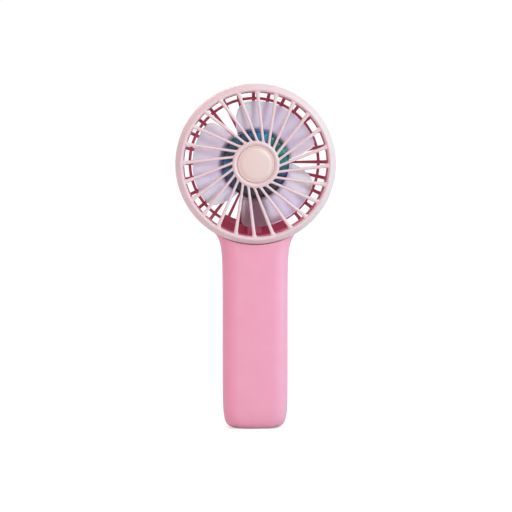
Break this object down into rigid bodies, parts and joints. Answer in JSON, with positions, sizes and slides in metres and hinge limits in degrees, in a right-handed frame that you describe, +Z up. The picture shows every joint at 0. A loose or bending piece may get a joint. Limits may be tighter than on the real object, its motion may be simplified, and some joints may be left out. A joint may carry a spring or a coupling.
{
  "type": "handheld fan",
  "caption": "Handheld electric fan: round caged head with slanting grille ribs, broad-bladed impeller on a brushless motor, and a flat-bottomed handle with cell, board and push button.",
  "frame": {"origin": "centre of the handle's flat bottom, which is also the bottom centre of the whole fan's bounding box", "axes": "+Z up through the handle and the head; the air leaves through the front grille towards -Y; +X is to the right as seen from the front"},
  "size_m": [0.0948, 0.036, 0.2049],
  "materials": {
    "pale_pink": "satin moulded plastic, pale cream pink",
    "pink": "soft satin moulded plastic, candy pink",
    "grille_pink": "satin moulded plastic, deeper pink",
    "pearl_lavender": "pearlescent translucent moulded plastic",
    "white_plastic": "moulded",
    "black_plastic": "moulded",
    "clear_plastic": "clear moulded",
    "red_insulation": "wire insulation",
    "black_insulation": "wire insulation",
    "steel": "plated",
    "silicon_steel": "laminated",
    "screw_steel": "black zinc",
    "bronze": "sintered, oiled",
    "copper_wire": "enamelled winding",
    "nickel": "strip",
    "ferrite": "pressed",
    "circuit_board": "solder mask",
    "cell_wrap": "shrink wrap on a metal can",
    "foam": "closed-cell foam"
  },
  "bodies": {
    "housing": {"front_grille": "pale_pink", "grille_badge": "pale_pink", "front_shell": "pink", "rear_shell": "pink", "rear_grille": "grille_pink", "bearing_tube": "white_plastic", "front_bearing": "bronze", "rear_bearing": "bronze", "thrust_pad": "black_plastic", "stator_core": "silicon_steel", "stator_coil_1": "copper_wire", "stator_coil_2": "copper_wire", "stator_coil_3": "copper_wire", "stator_coil_4": "copper_wire", "motor_pcb": "circuit_board", "battery_cell": "cell_wrap", "battery_tab_top": "nickel", "battery_tab_bottom": "nickel", "battery_pad": "foam", "main_pcb": "circuit_board", "usb_socket": "steel", "usb_tongue": "black_plastic", "tact_switch": "black_plastic", "led_1": "white_plastic", "led_2": "white_plastic", "led_3": "white_plastic", "light_pipe": "clear_plastic", "charge_ic": "black_plastic", "power_inductor": "ferrite", "battery_connector": "white_plastic", "motor_connector": "white_plastic", "motor_lead_red": "red_insulation", "motor_lead_black": "black_insulation", "battery_lead_red": "red_insulation", "battery_lead_black": "black_insulation", "case_screw_1": "screw_steel", "case_screw_2": "screw_steel", "case_screw_3": "screw_steel", "case_screw_4": "screw_steel"},
    "rotor": {"impeller": "pearl_lavender", "rotor_yoke": "steel", "rotor_magnet": "ferrite", "motor_shaft": "steel", "shaft_clip": "screw_steel"},
    "button": {"power_button": "pale_pink", "switch_plunger": "white_plastic"}
  },
  "joints": [
    {"name": "impeller_spin", "type": "hinge", "parent": "housing", "child": "rotor", "pos_m": [0, 0, 0.1575], "axis": [0, -1, 0], "continuous": true},
    {"name": "button_press", "type": "slide", "parent": "housing", "child": "button", "axis": [0, -1, 0], "range_m": [0, 0.0006], "stiffness_N_per_m": 2000, "springref_m": -0.0002}
  ]
}
